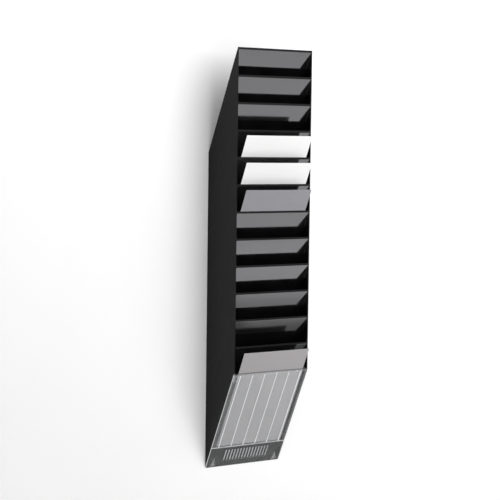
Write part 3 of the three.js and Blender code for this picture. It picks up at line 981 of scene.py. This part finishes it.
def screw_shell():
    """Head and shank as one grid: rows run from the middle of the head to the tip, and columns go round."""
    turn = np.linspace(0, 1, SCREW_COLUMNS, endpoint=False)[None, :]
    grid = np.vstack([screw_head(turn), screw_shank(turn)])
    faces = cells(len(grid), SCREW_COLUMNS, wrap=True)
    return grid.reshape(-1, 3), faces.tolist(), np.zeros(len(faces))


for name in screw_names:
    _, number, side = name.rsplit("_", 2)
    points, faces, finish = screw_shell()
    x = (-1 if side == "left" else 1) * SCREW_SPACING / 2
    points = points + [x, -FLANGE_THICKNESS - SEAM, lip_height(int(number)) + HOLE_HEIGHT]
    screw = make_piece(f"screw_{number}_{side}", (points, faces, finish), [ZINC], SCREW_SMOOTH_ANGLE)
    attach(screw, "rack")
    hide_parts(name)
print("screws:", len(screw_names))

# %% [markdown]
# ## Wall and floor
#
# The rack hangs on a white wall above a pale floor. Both are plain sheets. The wall leaves an opening behind
# the rack, a little smaller than the rack's back, so that light also reaches it. Both sheets are see-through
# from behind, so that they hide nothing when the rack is looked at from the back or from below.

# %% Stage
WALL_REACH, WALL_TOP, WALL_GAP, WALL_LIFT = 4.0, 3.2, 0.0002, 0.075
FLOOR_REACH, FLOOR_DROP = 5.0, 0.5
FLOOR_LEVEL = cover_low[2] - FLOOR_DROP
OPENING_SIDE_GAP, OPENING_TOP_GAP = 0.002, 0.004


def stage_finish(name, low, high, lift=0):
    """Matt paint with faint patches; the back of the sheet lets everything through. All rays but diffuse ones
    see it lighter by lift, so that the paint looks white without more light on the rack."""
    material, add, link, shader = new_finish(name)
    link(toned(add, link, noise(add, link, scale=3), low, high), shader.inputs["Base Color"])
    shader.inputs["Roughness"].default_value = 0.9
    shader.inputs["Specular IOR Level"].default_value = 0.1
    seen = add("ShaderNodeMath")
    seen.operation = "MULTIPLY_ADD"
    seen.inputs[1].default_value, seen.inputs[2].default_value = -lift, lift
    link(add("ShaderNodeLightPath").outputs["Is Diffuse Ray"], seen.inputs[0])
    link(seen.outputs["Value"], shader.inputs["Emission Strength"])
    shader.inputs["Emission Color"].default_value = (1, 1, 1, 1)
    see_through(material, add, link, shader, add("ShaderNodeNewGeometry").outputs["Backfacing"])
    return material


def stage_sheet(name, points, faces, finish_material):
    """A sheet of the stage from points and faces, as they are."""
    mesh = bpy.data.meshes.new(name)
    mesh.from_pydata(points, [], faces)
    mesh.materials.append(finish_material)
    sheet = bpy.data.objects.new(name, mesh)
    bpy.context.scene.collection.objects.link(sheet)
    sheet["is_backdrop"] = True
    return sheet


opening_x = HALF_WIDTH - OPENING_SIDE_GAP
opening_top = lip_height(1) - PANEL_DROP - OPENING_TOP_GAP
opening_low = lip_height(TRAY_COUNT) - PANEL_DROP
xs = [-WALL_REACH, -opening_x, opening_x, WALL_REACH]
zs = [FLOOR_LEVEL, opening_low, opening_top, WALL_TOP]
corner = lambda row, column: row * len(xs) + column
wall_points = [(x, WALL_GAP, z) for z in zs for x in xs]
wall_faces = [
    (corner(row, column), corner(row, column + 1), corner(row + 1, column + 1), corner(row + 1, column))
    for row in range(3) for column in range(3) if (row, column) != (1, 1)
]
wall_paint = stage_finish("wall_paint", (0.91, 0.91, 0.91), (0.93, 0.93, 0.93), WALL_LIFT)
stage_sheet("wall", wall_points, wall_faces, wall_paint)
floor_points = [
    (-WALL_REACH, -FLOOR_REACH, FLOOR_LEVEL), (WALL_REACH, -FLOOR_REACH, FLOOR_LEVEL),
    (WALL_REACH, WALL_GAP, FLOOR_LEVEL), (-WALL_REACH, WALL_GAP, FLOOR_LEVEL),
]
floor_paint = stage_finish("floor_paint", (0.555, 0.555, 0.55), (0.565, 0.565, 0.56))
stage_sheet("floor", floor_points, [(0, 1, 2, 3)], floor_paint)
print("wall opening", round(2 * opening_x, 3), "by", round(opening_top - opening_low, 3))

# %% [markdown]
# ## Light
#
# The light is soft and comes from the front, a little from the right: a large lamp there leaves a soft shadow
# on the wall left of the rack. A second large lamp lies low at the right. The polished panels lean, so from
# here they mirror what is low and to the right, and this lamp is what shows in them. It lies in three strips.
# The one nearest the wall is the dimmest, because the mirrored light fades in the lowest pockets. The world
# fills the rest.

# %% Lamps
KEY_PLACE, KEY_TARGET, KEY_SIZE, KEY_POWER = (0.62, -2.3, 1.65), (0, 0, 0.1), (2.3, 2.1), 52
LOW_LAMP_X, LOW_LAMP_WIDTH, LOW_LAMP_RISE = 1.294, 1.388, 0.02
LOW_LAMP_LEVEL, LOW_LAMP_AIM = FLOOR_LEVEL + LOW_LAMP_RISE, 3
LOW_LAMP_COLOR = (0.965, 0.955, 1.0)
LOW_LAMP_STRIPS = {
    "low_lamp": (-0.84, -1.73, 8.04),
    "low_lamp_middle": (-0.70, -0.84, 9.2),
    "low_lamp_edge": (-0.625, -0.70, 4.3),
}
WORLD_STRENGTH = 0.61
NEARLY_UPRIGHT = 0.99


def area_lamp(name, place, target, width, height, power):
    """A rectangular lamp at a place, turned so that its -Z axis points at a target."""
    lamp = bpy.data.lights.new(name, "AREA")
    lamp.shape, lamp.size, lamp.size_y, lamp.energy = "RECTANGLE", width, height, power
    body = bpy.data.objects.new(name, lamp)
    away = np.array(place, dtype=float) - np.array(target, dtype=float)
    away /= np.linalg.norm(away)
    side = np.cross([0, 0, 1] if abs(away[2]) < NEARLY_UPRIGHT else [0, 1, 0], away)
    side /= np.linalg.norm(side)
    turn = np.eye(4)
    turn[:3, 0], turn[:3, 1], turn[:3, 2], turn[:3, 3] = side, np.cross(away, side), away, place
    body.matrix_world = Matrix(turn.tolist())
    bpy.context.scene.collection.objects.link(body)
    return body


area_lamp("key_lamp", KEY_PLACE, KEY_TARGET, *KEY_SIZE, KEY_POWER)
for name, (near, far, strength) in LOW_LAMP_STRIPS.items():
    middle, length = (near + far) / 2, near - far
    place, target = (LOW_LAMP_X, middle, LOW_LAMP_LEVEL), (LOW_LAMP_X, middle, LOW_LAMP_AIM)
    lamp = area_lamp(name, place, target, LOW_LAMP_WIDTH, length, strength * LOW_LAMP_WIDTH * length)
    lamp.data.color = LOW_LAMP_COLOR
world = bpy.data.worlds.new("studio")
bpy.context.scene.world = world
world.use_nodes = True
background = world.node_tree.nodes["Background"]
background.inputs["Color"].default_value = (1, 1, 1, 1)
background.inputs["Strength"].default_value = WORLD_STRENGTH
print("lamps:", 1 + len(LOW_LAMP_STRIPS))

# %% [markdown]
# ## Sizes at the end
#
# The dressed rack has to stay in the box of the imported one, so both boxes are written down side by side.

# %% Box
visual_box = [list(corner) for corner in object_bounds()]
print("visual box", np.round(visual_box, 4).tolist())
